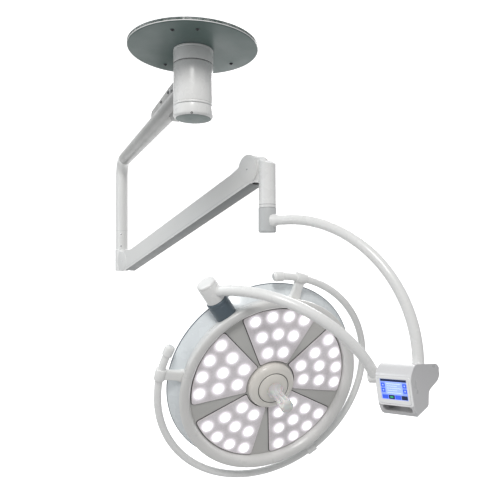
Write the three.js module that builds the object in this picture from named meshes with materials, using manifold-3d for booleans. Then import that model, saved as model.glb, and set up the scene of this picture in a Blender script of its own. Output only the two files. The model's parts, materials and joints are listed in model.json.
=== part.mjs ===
// Ceiling-mounted dental operating light: cover plate and suspension tube, swinging extension arm with
// a drop tube, balanced spring arm, two curved bows, touch console and a round five-segment lamp head.
// Millimetres, +Z up. The origin is the middle of the ceiling face of the cover plate.
import * as THREE from 'three';
import { mergeVertices } from 'three/addons/utils/BufferGeometryUtils.js';
import Module from 'manifold-3d';

const wasm = await Module();
wasm.setup();
const light = new THREE.Group();
light.name = 'dental_operating_light';

// ---------------------------------------------------------------- driving dimensions
const GAP = 0.4;                      // running and mating clearance
const PLATE = { radius: 155, thick: 9, screwCircle: 118 };
const HUB = { radius: 47.5, top: -45, bottom: -144, end: -172, core: 30 };
const ARM1 = { length: 1116, radius: 26, height: -90, bend: 70, azimuth: 113.2 };
const PIN = 8;                        // radius of the two pivot pins of the spring arm
const LINK_PIN = 4;                   // radius of the two pins of the parallel link
const ELBOW = { top: -481, bottom: -580, radius: 28.5, pivotX: 62, pivotZ: -533.6, azimuth: -50.5 };
const ARM2 = { length: 910.4, pitch: 18.55, width: 55, wall: 3.1, above: 20, below: 44, cheek: 44 };
const KNUCKLE = { drum: 43.4, width: 48, toAxis: 60, radius: 25.5, up: 27, down: 118, linkRise: -22 };
const YAW = { radius: 26.2, length: 73 };
const BOW_R = 14;
const BOW1 = { azimuth: -34.6, drop: 617.8, straight: 70, bend: 366, end: 96, tip: 88 };
const ROLL = { rise: 8.9, angle: 37.2, offset: [-3.3, -2.3, 0] };
const BOW2 = { straight: 12, bend: 324, end: 12 };
const SPRING = { y: 11, z: -26, radius: 10, wire: 1.5, turns: 12, from: 118, to: 438 };
const SHAFT = { radius: 16, shaft: 13, from: 320, shoulder: 362, to: 428 };
const CONSOLE = { width: 88, place: [405.7, -88.8, 51.2], turn: [6.1, -5.6, -5.8] };
const SCREEN = { width: 65, height: 48.6 };
const TILT = { start: 251, split: 310, end: 370, collar: 30, sleeve: 27 };
const SIDES = 44;                     // facets round the lamp head
const HEAD = { tilt: -42.2, face: 18, shift: 12.5 };
const RAIL = { radius: 325, tube: 11, z: -21 };
const LED_PANEL = { inner: 76, outer: 236, halfInside: 32.6, halfOutside: 28.6 };
const LED_ROWS = [
  { radius: 105, angles: [-13.4, 13.4] },
  { radius: 160, angles: [-17.8, 0, 17.8] },
  { radius: 215, angles: [-20.7, -6.9, 6.9, 20.7] },
];

// ---------------------------------------------------------------- finishes
const finish = (color, roughness, metalness) => ({ color, roughness, metalness });
const WHITE = finish(0xe9e9e6, 0.35, 0);
const OFF_WHITE = finish(0xdcdcd8, 0.4, 0);
const GREY = finish(0xb4b8b6, 0.4, 0);
const PLATE_PAINT = finish(0xa9b3ae, 0.5, 0);
const DARK = finish(0x4d5860, 0.45, 0);
const UNDER = finish(0x8d9090, 0.6, 0);
const STEEL = finish(0xc4c6c8, 0.3, 1);
const ALUMINIUM = finish(0xbfc2c4, 0.35, 1);
const SCREEN_BLUE = finish(0x2c4fd0, 0.15, 0);
const BOARD = finish(0x1f6a3c, 0.5, 0);
const LENS = finish(0xffffff, 0.1, 0);
const CLEAR = finish(0xf2f0ee, 0.25, 0);

// ---------------------------------------------------------------- geometry helpers
const rad = THREE.MathUtils.degToRad;
const vec = (x, y, z) => new THREE.Vector3(x, y, z);

function solid(geometry) {
  geometry.deleteAttribute('normal');
  geometry.deleteAttribute('uv');
  const merged = mergeVertices(geometry, 1e-3);
  const vertProperties = new Float32Array(merged.attributes.position.array);
  const triVerts = new Uint32Array(merged.index.array);
  return new wasm.Manifold(new wasm.Mesh({ numProp: 3, vertProperties, triVerts }));
}

function geometryOf(body) {
  const mesh = body.getMesh();
  const geometry = new THREE.BufferGeometry();
  geometry.setAttribute('position', new THREE.BufferAttribute(new Float32Array(mesh.vertProperties), 3));
  geometry.setIndex(new THREE.BufferAttribute(new Uint32Array(mesh.triVerts), 1));
  return geometry;
}

const join = (first, ...rest) => geometryOf(rest.reduce((sum, g) => sum.add(solid(g)), solid(first)));
const cut = (first, ...rest) => geometryOf(rest.reduce((sum, g) => sum.subtract(solid(g)), solid(first)));

// Solid of revolution about +Z from [radius, z] pairs that start and end on the axis.
function turned(profile, segments = 32) {
  const points = profile.map(([r, z]) => new THREE.Vector2(r, z));
  return new THREE.LatheGeometry(points, segments).rotateX(Math.PI / 2);
}

const disc = (radius, low, high, segments = 32) =>
  turned([[0, low], [radius, low], [radius, high], [0, high]], segments);

// Plain ring about +Z between two radii and two heights.
const ring = (inner, outer, low, high, segments = 32) =>
  turned([[inner, low], [outer, low], [outer, high], [inner, high], [inner, low]], segments);

const block = (x0, x1, y0, y1, z0, z1) =>
  new THREE.BoxGeometry(x1 - x0, y1 - y0, z1 - z0).translate((x0 + x1) / 2, (y0 + y1) / 2, (z0 + z1) / 2);

// Outline drawn in X and Z, extruded along Y from y0 to y1.
function slab(outline, y0, y1, curveSegments = 4) {
  const options = { depth: y1 - y0, bevelEnabled: false, curveSegments };
  return new THREE.ExtrudeGeometry(outline, options).rotateX(Math.PI / 2).translate(0, y1, 0);
}

// Closed outline with rounded corners from [x, z, radius] corners.
function rounded(corners) {
  const shape = new THREE.Shape();
  const count = corners.length;
  corners.forEach(([x, z, radius], i) => {
    const [px, pz] = corners[(i + count - 1) % count];
    const [nx, nz] = corners[(i + 1) % count];
    const before = new THREE.Vector2(px - x, pz - z).setLength(radius);
    const after = new THREE.Vector2(nx - x, nz - z).setLength(radius);
    if (i === 0) {
      shape.moveTo(x + before.x, z + before.y);
    } else {
      shape.lineTo(x + before.x, z + before.y);
    }
    shape.quadraticCurveTo(x, z, x + after.x, z + after.y);
  });
  shape.closePath();
  return shape;
}

// Round rod between two points.
function rod(from, to, radius, segments = 16) {
  const span = to.clone().sub(from);
  const turn = new THREE.Quaternion().setFromUnitVectors(vec(0, 0, 1), span.clone().normalize());
  return disc(radius, 0, span.length(), segments).applyQuaternion(turn).translate(from.x, from.y, from.z);
}

// Round tube swept along a curve.
function swept(curve, radius, steps, sides) {
  const section = new THREE.Shape();
  section.absarc(0, 0, radius, 0, 2 * Math.PI, false);
  const options = { steps, extrudePath: curve, bevelEnabled: false, curveSegments: sides / 2 };
  return new THREE.ExtrudeGeometry(section, options);
}

// Arc in the plane of two unit directions, angles in degrees from the first towards the second.
class Arc extends THREE.Curve {
  constructor(centre, first, second, radius, from, to) {
    super();
    Object.assign(this, { centre, first, second, radius, from, to });
  }

  getPoint(t, target = new THREE.Vector3()) {
    const angle = rad(this.from + (this.to - this.from) * t);
    return target.copy(this.centre)
      .addScaledVector(this.first, this.radius * Math.cos(angle))
      .addScaledVector(this.second, this.radius * Math.sin(angle));
  }
}

// Straight, arc and straight again. Each straight takes one step and the arc takes the others.
class Bend extends THREE.Curve {
  constructor(start, arc, end, arcSteps) {
    super();
    Object.assign(this, { start, arc, end, arcSteps });
  }

  getUtoTmapping(u) {
    return u;
  }

  getPoint(t, target = new THREE.Vector3()) {
    const step = t * (this.arcSteps + 2) - 1;
    if (step <= 0) {
      return target.lerpVectors(this.start, this.arc.getPoint(0), step + 1);
    }
    if (step >= this.arcSteps) {
      return target.lerpVectors(this.arc.getPoint(1), this.end, step - this.arcSteps);
    }
    return this.arc.getPoint(step / this.arcSteps, target);
  }
}

const bentTube = (start, arc, end, radius, arcSteps, sides) =>
  swept(new Bend(start, arc, end, arcSteps), radius, arcSteps + 2, sides);

// Flat plate from an outline in X and Y, between two heights.
function plate(outline, low, high, curveSegments = 16) {
  const options = { depth: high - low, bevelEnabled: false, curveSegments };
  return new THREE.ExtrudeGeometry(outline, options).translate(0, 0, low);
}

// ---------------------------------------------------------------- scene graph of the moving bodies
function body(parent, position, rotation = [0, 0, 0], order = 'XYZ') {
  const group = new THREE.Group();
  group.position.set(...position);
  group.rotation.set(...rotation.map(rad), order);
  parent.add(group);
  return group;
}

function add(group, name, geometry, look) {
  geometry.computeVertexNormals();
  const mesh = new THREE.Mesh(geometry, new THREE.MeshStandardMaterial(look));
  mesh.name = name;
  group.add(mesh);
}

const arm1 = body(light, [0, 0, 0], [0, 0, ARM1.azimuth]);
const elbow = body(arm1, [ARM1.length, 0, 0], [0, 0, ELBOW.azimuth - ARM1.azimuth]);
const springArm = body(elbow, [ELBOW.pivotX, 0, ELBOW.pivotZ], [0, -ARM2.pitch, 0]);
const link = body(elbow, [ELBOW.pivotX, 0, ELBOW.pivotZ + KNUCKLE.linkRise], [0, -ARM2.pitch, 0]);
const knuckle = body(springArm, [ARM2.length, 0, 0], [0, ARM2.pitch, 0]);
const bow1 = body(knuckle, [KNUCKLE.toAxis, 0, -BOW1.drop], [0, 0, BOW1.azimuth - ELBOW.azimuth]);
const bow2 = body(bow1, ROLL.offset, [ROLL.angle, -ROLL.rise, 0], 'YXZ');
const tilt = body(bow2, [0, 0, 0], [0, 0, HEAD.tilt]);
const lamp = body(body(tilt, [0, 0, 0], [0, 90, 0]), [HEAD.shift, 0, HEAD.face]);

// ---------------------------------------------------------------- ceiling plate and suspension tube
const screw = (headRadius, headHeight, length) => turned([
  [0, 0], [headRadius * 0.8, 0], [headRadius, headHeight * 0.4], [headRadius, headHeight],
  [headRadius * 0.5, headHeight], [headRadius * 0.5, headHeight + length], [0, headHeight + length],
], 10);

function ceiling() {
  const screwAngles = [281, 254, 134, 42];
  const { screwCircle } = PLATE;
  const places = screwAngles.map((a) => [screwCircle * Math.cos(rad(a)), screwCircle * Math.sin(rad(a))]);
  const holes = places.map(([x, y]) => disc(3, -20, 20, 10).translate(x, y, 0));
  const cover = ring(HUB.radius + GAP, PLATE.radius, -PLATE.thick, 0, 48);
  add(light, 'ceiling_cover_plate', cut(cover, ...holes), PLATE_PAINT);
  places.forEach(([x, y], i) => {
    add(light, `plate_screw_${i + 1}`, screw(4.5, 2.6, 9).translate(x, y, -PLATE.thick - 3), STEEL);
  });
  add(light, 'suspension_tube', turned([
    [0, 0], [0, -14], [18, -14], [18, HUB.end + 5], [HUB.core, HUB.end + 5], [HUB.core, -PLATE.thick + GAP],
    [HUB.radius, -PLATE.thick + GAP], [HUB.radius, 0], [0, 0],
  ], 32), STEEL);
  const sleeveBore = HUB.core + GAP;
  add(light, 'upper_collar', ring(sleeveBore, HUB.radius, HUB.top, -PLATE.thick, 32), WHITE);
  add(light, 'hub_bearing_upper', ring(sleeveBore, 38, HUB.top - 10, HUB.top - 1, 32), STEEL);
  add(light, 'hub_bearing_lower', ring(sleeveBore, 38, HUB.bottom + 1, HUB.bottom + 10, 32), STEEL);
  add(light, 'lower_cap', turned([
    [0, HUB.end], [HUB.radius - 4, HUB.end], [HUB.radius, HUB.end + 4], [HUB.radius, HUB.bottom - 0.6],
    [sleeveBore, HUB.bottom - 0.6], [sleeveBore, HUB.end + 4], [0, HUB.end + 4],
  ], 32), WHITE);
}

// ---------------------------------------------------------------- extension arm with its drop tube
function extensionArm() {
  const low = HUB.bottom + GAP;
  const high = HUB.top - 1;
  const seat = 38.4;
  add(arm1, 'hub_sleeve', turned([
    [seat, high], [seat, high - 9.6], [31, high - 9.6], [31, low + 10.4], [seat, low + 10.4], [seat, low],
    [HUB.radius, low], [HUB.radius, high], [seat, high],
  ], 32), WHITE);
  const outline = rounded([
    [40, -138, 2], [40, -36, 2], [200, -35, 10], [436, -42, 4], [446, -60, 4], [446, -100, 4],
    [240, -100, 4], [200, -118, 10], [176, -138, 14],
  ]);
  const tubeStart = 72;
  const bolt = rod(vec(178, -13, -53), vec(178, 13, -53), 4.5, 12);
  const boltHole = rod(vec(178, -40, -53), vec(178, 40, -53), 4.9, 12);
  const screwPlaces = [[214, -46], [300, -49]];
  const screwHoles = screwPlaces.map(([x, z]) => rod(vec(x, 2, z), vec(x, 20, z), 2.7, 10));
  const tubeBore = rod(vec(tubeStart - GAP, 0, ARM1.height), vec(500, 0, ARM1.height), ARM1.radius + GAP, 20);
  const bracket = cut(slab(outline, -9, 9), disc(HUB.radius + GAP, -200, 0, 32), tubeBore, boltHole,
    ...screwHoles);
  add(arm1, 'root_bracket', bracket, GREY);
  add(arm1, 'bracket_bolt', bolt, STEEL);
  screwPlaces.forEach(([x, z], i) => {
    const head = screw(4.4, 2.6, 5).rotateX(Math.PI / 2).translate(x, 12, z);
    add(arm1, `bracket_screw_${i + 1}`, head, DARK);
  });
  const start = vec(tubeStart, 0, ARM1.height);
  const centre = vec(ARM1.length - ARM1.bend, 0, ARM1.height - ARM1.bend);
  const end = vec(ARM1.length, 0, ELBOW.top);
  const bend = new Arc(centre, vec(1, 0, 0), vec(0, 0, 1), ARM1.bend, 90, 0);
  const tube = bentTube(start, bend, end, ARM1.radius, 8, 20);
  add(arm1, 'arm_tube', tube, OFF_WHITE);
  const spindle = disc(14, ELBOW.bottom + 17, ELBOW.top - GAP, 24).translate(ARM1.length, 0, 0);
  add(arm1, 'drop_spindle', spindle, STEEL);
}

// ---------------------------------------------------------------- elbow under the drop tube
function elbowJoint() {
  const { pivotX, pivotZ, radius, bottom, top } = ELBOW;
  const half = KNUCKLE.width / 2;
  const drum = rod(vec(pivotX, -half, pivotZ), vec(pivotX, half, pivotZ), KNUCKLE.drum, 32);
  const slot = block(pivotX - 16, pivotX + 60, -14.5, 14.5, pivotZ - 60, pivotZ + 60);
  const linkZ = pivotZ + KNUCKLE.linkRise;
  const linkPin = rod(vec(pivotX, -16, linkZ), vec(pivotX, 16, linkZ), LINK_PIN);
  const pinHole = rod(vec(pivotX, -40, pivotZ), vec(pivotX, 40, pivotZ), PIN + GAP);
  const bore = disc(20.4, bottom + 14, top + 10, 28);
  const web = block(0, 38, -23, 23, bottom + 8, top - 10);
  const shell = join(disc(radius, bottom + 2, top - 1, 32), web, drum);
  add(elbow, 'elbow_housing', join(cut(shell, slot, pinHole, bore), linkPin), WHITE);
  add(elbow, 'elbow_bearing', ring(14.4, 20, bottom + 18, top - 4, 28), STEEL);
  const reach = (ARM2.width + 1.8) / 2;
  const pin = rod(vec(pivotX, -reach, pivotZ), vec(pivotX, reach, pivotZ), PIN);
  add(elbow, 'lower_pivot_pin', pin, STEEL);
}

// ---------------------------------------------------------------- balanced spring arm
function balancedArm() {
  const { length, width, wall, above, below, cheek } = ARM2;
  const half = width / 2;
  const across = (x, radius, reach, sides) => rod(vec(x, -reach, 0), vec(x, reach, 0), radius, sides);
  const fillet = new THREE.Shape([
    new THREE.Vector2(0, 0), new THREE.Vector2(100, above - 1), new THREE.Vector2(-2, cheek - 0.4),
  ]);
  const casing = join(block(0, length, -half, half, -below, above), slab(fillet, -half, half),
    ...[0, length].map((x) => across(x, cheek, half, 36)));
  const inner = half - wall;
  const hollow = block(-60, length + 60, -inner, inner, -60, above - wall);
  const endCuts = [0, length].map((x) => block(x - 60, x + 60, -inner, inner, -60, 60));
  const pinHoles = [0, length].map((x) => across(x, PIN + GAP, 60, 16));
  add(springArm, 'spring_arm_shell', cut(casing, hollow, ...endCuts, ...pinHoles), OFF_WHITE);
  const clearance = [0, length].map((x) => across(x, KNUCKLE.drum + 1, 60, 32));
  const cover = block(8, length - 8, -inner + GAP, inner - GAP, -below, -below + 3);
  add(springArm, 'under_cover', cut(cover, ...clearance), UNDER);
  const lug = block(440, 452, 0, 21, -38, 0);
  const eyes = [0, length].map((x) => rod(vec(x, -13.5, 0), vec(x, 13.5, 0), 13, 24));
  const holes = [0, length].map((x) => rod(vec(x, -20, 0), vec(x, 20, 0), PIN + GAP));
  const beam = join(block(0, length, -7, 7, -8, 8), lug, ...eyes);
  const along = (from, to, radius, sides) =>
    rod(vec(from, SPRING.y, SPRING.z), vec(to, SPRING.y, SPRING.z), radius, sides);
  add(springArm, 'arm_beam', cut(beam, along(430, 460, 5.4), ...holes), STEEL);
  const seat = along(SPRING.from - 8, SPRING.from - 2, 11);
  const nut = along(453, 462, 9, 6);
  add(springArm, 'spring_rod', join(along(SPRING.from - 6, 458, 5), seat, nut), STEEL);
  add(springArm, 'balance_spring', coil(SPRING).translate(0, SPRING.y, SPRING.z), STEEL);
}

class Helix extends THREE.Curve {
  constructor(from, to, radius, turns) {
    super();
    Object.assign(this, { from, to, radius, turns });
  }

  getPoint(t, target = new THREE.Vector3()) {
    const angle = 2 * Math.PI * this.turns * t;
    const x = this.from + (this.to - this.from) * t;
    return target.set(x, this.radius * Math.cos(angle), this.radius * Math.sin(angle));
  }
}

const coil = ({ from, to, radius, wire, turns }) =>
  swept(new Helix(from + wire, to - wire, radius, turns), wire, turns * 7, 5);

function parallelLink() {
  const eyes = [0, ARM2.length].map((x) => rod(vec(x, -11.5, 0), vec(x, -3.5, 0), 7.5, 16));
  const holes = [0, ARM2.length].map((x) => rod(vec(x, -20, 0), vec(x, 0, 0), LINK_PIN + GAP, 16));
  const bar = block(0, ARM2.length, -11, -4, -3.4, 3.4);
  add(link, 'link_rod', cut(join(bar, ...eyes), ...holes), STEEL);
}

// ---------------------------------------------------------------- knuckle at the arm's upper end
function knuckleJoint() {
  const { drum, width, toAxis, radius, up, down, linkRise } = KNUCKLE;
  const barrel = rod(vec(0, -width / 2, 0), vec(0, width / 2, 0), drum, 32);
  const post = turned([
    [0, -down - 56], [12, -down - 56], [12, -down], [radius, -down], [radius - 1, up - 4],
    [radius - 6, up + 2], [0, up + 4],
  ], 32).translate(toAxis, 0, 0);
  const slope = block(-80, 80, -60, 60, 0, 60).rotateY(rad(20)).translate(toAxis, 0, up - 7);
  const web = block(14, toAxis, -21, 21, -40, 22);
  const slot = block(-60, 16, -14.5, 14.5, -60, 60);
  const pinHole = rod(vec(0, -40, 0), vec(0, 40, 0), PIN + GAP);
  const linkPin = rod(vec(0, -16, linkRise), vec(0, 16, linkRise), LINK_PIN);
  add(knuckle, 'knuckle_body', join(cut(join(barrel, web, cut(post, slope)), slot, pinHole), linkPin), WHITE);
  const reach = (ARM2.width + 1.8) / 2;
  add(knuckle, 'upper_pivot_pin', rod(vec(0, -reach, 0), vec(0, reach, 0), PIN), STEEL);
  const bearing = ring(12.4, 17.6, -down - 54, -down - 4, 28);
  add(knuckle, 'yaw_bearing', bearing.translate(toAxis, 0, 0), STEEL);
}

// ---------------------------------------------------------------- first bow and the touch console
function firstBow() {
  const top = BOW1.drop - KNUCKLE.down - GAP;
  add(bow1, 'yaw_sleeve', turned([
    [0, top - YAW.length], [YAW.radius, top - YAW.length], [YAW.radius, top], [18, top],
    [18, top - 62], [0, top - 62],
  ], 32), GREY);
  const height = BOW1.end + BOW1.bend;
  const bend = new Arc(vec(BOW1.straight, 0, BOW1.end), vec(1, 0, 0), vec(0, 0, 1), BOW1.bend, 90, 0);
  const root = vec(YAW.radius + 0.6, 0, height);
  const tip = vec(BOW1.straight + BOW1.bend, 0, BOW1.tip);
  add(bow1, 'bow_1_tube', bentTube(root, bend, tip, BOW_R, 20, 16), WHITE);
}

function touchConsole() {
  const console_ = body(bow1, CONSOLE.place, CONSOLE.turn, 'ZYX');
  const half = CONSOLE.width / 2;
  const profile = rounded([
    [0, -37, 3], [0, 30, 9], [32, 52, 12], [168, 15, 12], [183, -6, 12], [162, -24, 9], [94, -30, 8],
    [78, -67, 9], [18, -69, 6], [7, -56, 5],
  ]);
  const shell = slab(profile, -half, half).rotateZ(-Math.PI / 2).rotateZ(Math.PI);
  const tray = block(-half + 6, half - 6, -5, 30, -34, 25);
  const slot = block(-half + 8, half - 8, -5, 90, -56, -39);
  // The bow's tip and the roll shaft, drawn in the first bow's frame and carried into the console's.
  console_.updateMatrix();
  const toConsole = console_.matrix.clone().invert();
  const tipBore = rod(vec(BOW1.straight + BOW1.bend, 0, BOW1.tip - GAP),
    vec(BOW1.straight + BOW1.bend, 0, BOW1.tip + 40), BOW_R + GAP, 28).applyMatrix4(toConsole);
  const shaftBore = rod(vec(200, 0, 0), vec(SHAFT.to + 1, 0, 0), SHAFT.shaft + GAP, 28)
    .rotateY(-rad(ROLL.rise)).translate(...ROLL.offset).applyMatrix4(toConsole);
  add(console_, 'console_shell', cut(shell, tray, slot, tipBore, shaftBore), WHITE);
  const frame = block(-half + 6.4, half - 6.4, -1.6, 4, -33.6, 24.6);
  const window = block(-SCREEN.width / 2, SCREEN.width / 2, -5, 10, -SCREEN.height / 2, SCREEN.height / 2);
  add(console_, 'console_bezel', cut(frame, window), WHITE);
  const pane = block(-SCREEN.width / 2 + 0.4, SCREEN.width / 2 - 0.4, 0, 3.6,
    -SCREEN.height / 2 + 0.4, SCREEN.height / 2 - 0.4);
  add(console_, 'touch_display', pane, SCREEN_BLUE);
  add(console_, 'control_board', block(-34, 34, 10, 12, -30, 22), BOARD);
}

// ---------------------------------------------------------------- second bow and the tilt joint
function secondBow() {
  const shaft = join(
    rod(vec(SHAFT.from, 0, 0), vec(SHAFT.shoulder, 0, 0), SHAFT.radius, 28),
    rod(vec(SHAFT.shoulder - 1, 0, 0), vec(SHAFT.to, 0, 0), SHAFT.shaft, 28),
  );
  add(bow2, 'roll_hub', shaft, WHITE);
  const { straight, bend, end } = BOW2;
  const first = THREE.MathUtils.radToDeg(Math.acos((TILT.sleeve + 1 - straight) / bend));
  const last = THREE.MathUtils.radToDeg(Math.asin((SHAFT.radius + 0.6 - end) / bend));
  const curve = new Arc(vec(straight, 0, end), vec(1, 0, 0), vec(0, 0, 1), bend, first, last);
  add(bow2, 'bow_2_tube', swept(curve, BOW_R, 20, 14), WHITE);
  add(bow2, 'tilt_sleeve', ring(16, TILT.sleeve, TILT.split + 0.5, TILT.end - 8, 32), WHITE);
  add(bow2, 'tilt_bearing', ring(12.4, 15.6, TILT.split + 3, TILT.end - 20, 28), STEEL);
  add(bow2, 'tilt_cap', turned([
    [0, TILT.end - 7.6], [TILT.sleeve, TILT.end - 7.6], [TILT.sleeve, TILT.end - 3],
    [TILT.sleeve - 3, TILT.end], [0, TILT.end],
  ], 32), WHITE);
}

// ---------------------------------------------------------------- lamp head
const envelope = () => turned([
  [0, -73], [150, -70.6], [280.6, -62.6], [294.8, -52.4], [294.8, -51.2], [262.8, -21.9], [273.8, 14],
  [270.6, 21.6], [262, 23.6], [0, 23.6],
], SIDES);

function tiltCollar() {
  const collar = turned([
    [0, TILT.start - 10], [TILT.collar, TILT.start - 10], [TILT.collar, TILT.split], [12, TILT.split],
    [12, TILT.end - 18], [0, TILT.end - 18],
  ], 32);
  const head = envelope().translate(HEAD.shift, 0, HEAD.face).rotateY(Math.PI / 2);
  add(tilt, 'tilt_collar', cut(collar, head), DARK);
}

function headShells() {
  add(lamp, 'head_back_cover', turned([
    [0, -72], [150, -70], [280, -62], [294, -53], [294, -52.2], [289, -52.2], [278, -57.5], [150, -66],
    [0, -68],
  ], SIDES), OFF_WHITE);
  add(lamp, 'side_band', turned([
    [294, -51.8], [262, -22], [257, -22], [289, -51.8], [294, -51.8],
  ], SIDES), WHITE);
  add(lamp, 'front_rim', turned([
    [240, -21.6], [262, -21.6], [273, 14], [270, 21], [262, 23], [250, 21], [243, 12], [240, 4],
    [240, -21.6],
  ], SIDES), OFF_WHITE);
  add(lamp, 'face_plate', ring(60, 239.4, -4, 0, SIDES), GREY);
  const fins = [...Array(3).keys()].flatMap((i) => {
    const r = 100 + i * 45;
    return [[r - 3, -12], [r - 3, -26], [r + 3, -26], [r + 3, -12]];
  });
  const sink = turned([[60, -6], [60, -12], ...fins, [228, -12], [228, -6], [60, -6]], 28);
  add(lamp, 'heat_sink', sink, ALUMINIUM);
}

// Angles on the face run from the tilt joint, which lies towards -X of the lamp.
const around = (angle) => rad(180 + angle);

function ledModule(index) {
  const middle = around(36 + 72 * index);
  const wide = rad(LED_PANEL.halfOutside);
  const narrow = rad(LED_PANEL.halfInside);
  const shape = new THREE.Shape();
  shape.absarc(0, 0, LED_PANEL.outer, middle - wide, middle + wide, false);
  shape.absarc(0, 0, LED_PANEL.inner, middle + narrow, middle - narrow, true);
  shape.closePath();
  const lenses = LED_ROWS.flatMap(({ radius, angles }) => angles.map((angle) => {
    const a = middle + rad(angle);
    return turned([[0, 2], [16, 2], [16, 6], [0, 9]], 10)
      .translate(radius * Math.cos(a), radius * Math.sin(a), 0);
  }));
  add(lamp, `led_module_${index + 1}`, join(plate(shape, 0.4, 4, 7), ...lenses), LENS);
}

function handle() {
  add(lamp, 'handle_hub', turned([
    [17, 0.4], [70, 0.4], [70, 14], [62, 21], [48, 25], [46, 22], [43, 22], [41, 26], [30, 31], [22, 33],
    [17, 33], [17, 0.4],
  ], 28), OFF_WHITE);
  add(lamp, 'sterile_handle', turned([
    [0, -5], [16.4, -5], [16.4, 34], [24, 36], [24, 44], [17, 56], [16, 80], [19, 104], [19, 118],
    [14, 127], [0, 130],
  ], 20), CLEAR);
}

function grabRail() {
  const { radius, tube, z } = RAIL;
  const capFrom = 31;
  const capTo = 35.3;
  const axes = [vec(0, 0, z), vec(1, 0, 0), vec(0, 1, 0)];
  const curve = new Arc(...axes, radius, 180 + capTo + 0.1, 540 - capTo - 0.1);
  add(lamp, 'grab_rail', swept(curve, tube, 44, 8), WHITE);
  [1, -1].forEach((side, i) => {
    const from = 180 + side * capFrom;
    const to = 180 + side * capTo;
    const cap = swept(new Arc(...axes, radius, Math.min(from, to), Math.max(from, to)), tube + 3, 1, 16);
    add(lamp, `rail_cap_${i + 1}`, cap, WHITE);
  });
  [46, -46, 180].forEach((angle, i) => {
    const sleeve = rod(vec(radius, -16, z), vec(radius, 16, z), tube + 4, 18);
    const post = block(240, radius, -14, 14, z - 8, z + 8);
    const bore = rod(vec(radius - 0.2, -40, z), vec(radius - 0.2, 40, z), tube + 0.9, 18);
    const bracket = cut(join(sleeve, post), bore, envelope());
    add(lamp, `rail_bracket_${i + 1}`, bracket.rotateZ(around(angle)), WHITE);
  });
}

ceiling();
extensionArm();
elbowJoint();
balancedArm();
parallelLink();
knuckleJoint();
firstBow();
touchConsole();
secondBow();
tiltCollar();
headShells();
for (let index = 0; index < 5; index += 1) {
  ledModule(index);
}
handle();
grabRail();

export default light;
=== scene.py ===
import json
import math
import bmesh
import bpy
from mathutils import Euler, Matrix, Vector


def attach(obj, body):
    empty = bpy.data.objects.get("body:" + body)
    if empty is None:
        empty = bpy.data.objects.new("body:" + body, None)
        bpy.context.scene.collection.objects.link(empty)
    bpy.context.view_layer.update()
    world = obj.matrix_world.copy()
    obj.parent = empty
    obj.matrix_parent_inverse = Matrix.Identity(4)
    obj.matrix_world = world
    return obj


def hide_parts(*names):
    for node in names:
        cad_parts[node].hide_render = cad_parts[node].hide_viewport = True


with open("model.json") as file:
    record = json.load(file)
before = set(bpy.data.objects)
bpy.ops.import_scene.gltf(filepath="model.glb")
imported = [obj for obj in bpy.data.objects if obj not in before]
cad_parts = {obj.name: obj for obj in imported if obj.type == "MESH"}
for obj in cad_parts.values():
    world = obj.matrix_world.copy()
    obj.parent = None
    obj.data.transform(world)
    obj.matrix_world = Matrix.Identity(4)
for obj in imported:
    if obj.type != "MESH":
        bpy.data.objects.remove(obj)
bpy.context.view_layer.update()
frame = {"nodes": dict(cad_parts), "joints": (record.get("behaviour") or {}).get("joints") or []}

# Looks of the ceiling-hung operating light. Each part is drawn in millimetres in the frame of the body
# that carries it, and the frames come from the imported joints, so the pieces lie where the CAD has them.

# ---------------------------------------------------------------- driving dimensions, in millimetres
MM = 0.001
GAP = 0.4                             # running and mating clearance
PLATE = {"radius": 155, "thick": 9, "screws": 118, "screw_angles": (281, 254, 134, 42)}
HUB = {"radius": 47.5, "top": -45, "bottom": -144, "end": -172, "core": 30.4, "seat": 38.4}
ARM = {"length": 1116, "radius": 26, "height": -90, "bend": 70, "start": 72, "end": -481}
SPRING = {"length": 910.4, "half": 27.5, "wall": 3.1, "above": 20, "below": 44, "cheek": 44}
KNUCKLE = {"to_axis": 60, "down": 118, "radius": 25.5}
YAW = {"radius": 26.2, "length": 73}
BOW = {"radius": 14, "azimuth": -34.6}
BOW1 = {"straight": 70, "bend": 366, "end": 96, "tip": 88, "drop": 617.8}
BOW2 = {"straight": 12, "bend": 324, "end": 12}
SHAFT = {"hub": 16, "shaft": 13, "start": 320, "shoulder": 362, "end": 428}
TILT = {"start": 241, "split": 310, "end": 370, "collar": 30, "sleeve": 27}
CONSOLE = {"half": 44, "place": (405.7, -88.8, 51.2), "turn": (6.1, -5.6, -5.8)}
SCREEN = {"width": 65, "height": 48.6}
RAIL = {"radius": 325, "tube": 11, "bare": 10.4, "z": -21}
LED = {"inner": 76, "outer": 236, "half_inside": 32.6, "half_outside": 28.6, "lens": 16}
LED_ROWS = ((105, (-13.4, 13.4)), (160, (-17.8, 0, 17.8)), (215, (-20.7, -6.9, 6.9, 20.7)))
FINE = 144                            # steps round a large turned part

# ---------------------------------------------------------------- frames of the bodies
UP = Vector((0, 0, 1))
JOINTS = {joint["name"]: joint for joint in frame["joints"]}


def anchor(joint):
    return Vector(JOINTS[joint]["pos_m"])


def axis(joint):
    return Vector(JOINTS[joint]["axis"]).normalized()


def level(vector):
    return Vector((vector.x, vector.y, 0))


def placed(origin, x, z):
    """Matrix from millimetres in a frame to metres in the scene, from its origin, x and z directions."""
    z = z.normalized()
    x = (x - z * x.dot(z)).normalized()
    turn = Matrix((x, z.cross(x), z)).transposed().to_4x4()
    return Matrix.Translation(origin) @ turn @ Matrix.Scale(MM, 4)


def polar(radius, degrees, height=0.0):
    angle = math.radians(degrees)
    return Vector((radius * math.cos(angle), radius * math.sin(angle), height))


along = anchor("knuckle_level") - anchor("arm_lift")
bow1_foot = level(anchor("first_bow_swing")) + UP * anchor("second_bow_roll").z
console_turn = Euler([math.radians(a) for a in CONSOLE["turn"]], "XYZ").to_matrix().to_4x4()

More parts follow.
